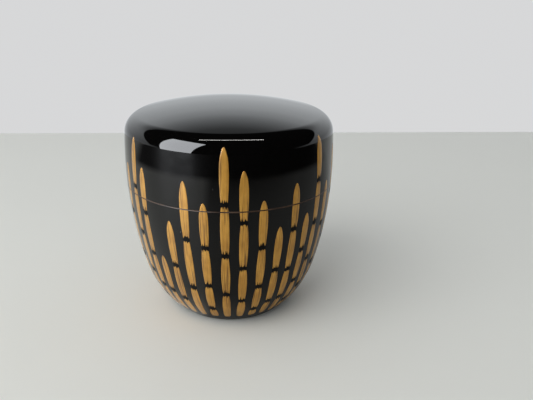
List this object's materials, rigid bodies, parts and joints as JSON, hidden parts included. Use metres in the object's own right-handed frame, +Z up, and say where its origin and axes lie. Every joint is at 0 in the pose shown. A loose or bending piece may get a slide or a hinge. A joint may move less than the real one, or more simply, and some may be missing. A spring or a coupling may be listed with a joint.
{
  "type": "tea caddy",
  "caption": "Lacquered round tea caddy with a domed lid that seats over an inner lip, and raised gold horsetail stems up its sides.",
  "frame": {"origin": "centre of the foot, on the surface the caddy stands on", "axes": "+Z up along the turning axis; -Y is the front as pictured"},
  "size_m": [0.066, 0.0662, 0.068],
  "materials": {
    "wood_core": "turned, unpolished",
    "clay_ground": "matte",
    "black_lacquer": "mirror polish",
    "inner_lacquer": "gloss",
    "foot_lacquer": "gloss",
    "brown_lacquer": "satin",
    "gold_powder": "burnished gold powder under clear lacquer"
  },
  "bodies": {
    "caddy_body": {"body_core": "wood_core", "body_ground_coat": "clay_ground", "body_outer_lacquer": "black_lacquer", "body_inner_lacquer": "inner_lacquer", "body_foot_lacquer": "foot_lacquer", "body_rim_line": "brown_lacquer", "body_gold_stems": "gold_powder"},
    "lid_rim": {"lid_rim_line": "brown_lacquer"},
    "lid": {"lid_core": "wood_core", "lid_ground_coat": "clay_ground", "lid_outer_lacquer": "black_lacquer", "lid_inner_lacquer": "inner_lacquer", "lid_gold_stems": "gold_powder"}
  },
  "joints": [
    {"name": "lid_lift", "type": "slide", "parent": "caddy_body", "child": "lid_rim", "axis": [0, 0, 1], "range_m": [0, 0.06]},
    {"name": "lid_turn", "type": "hinge", "parent": "lid_rim", "child": "lid", "pos_m": [0, 0, 0.0432], "axis": [0, 0, 1], "continuous": true}
  ]
}
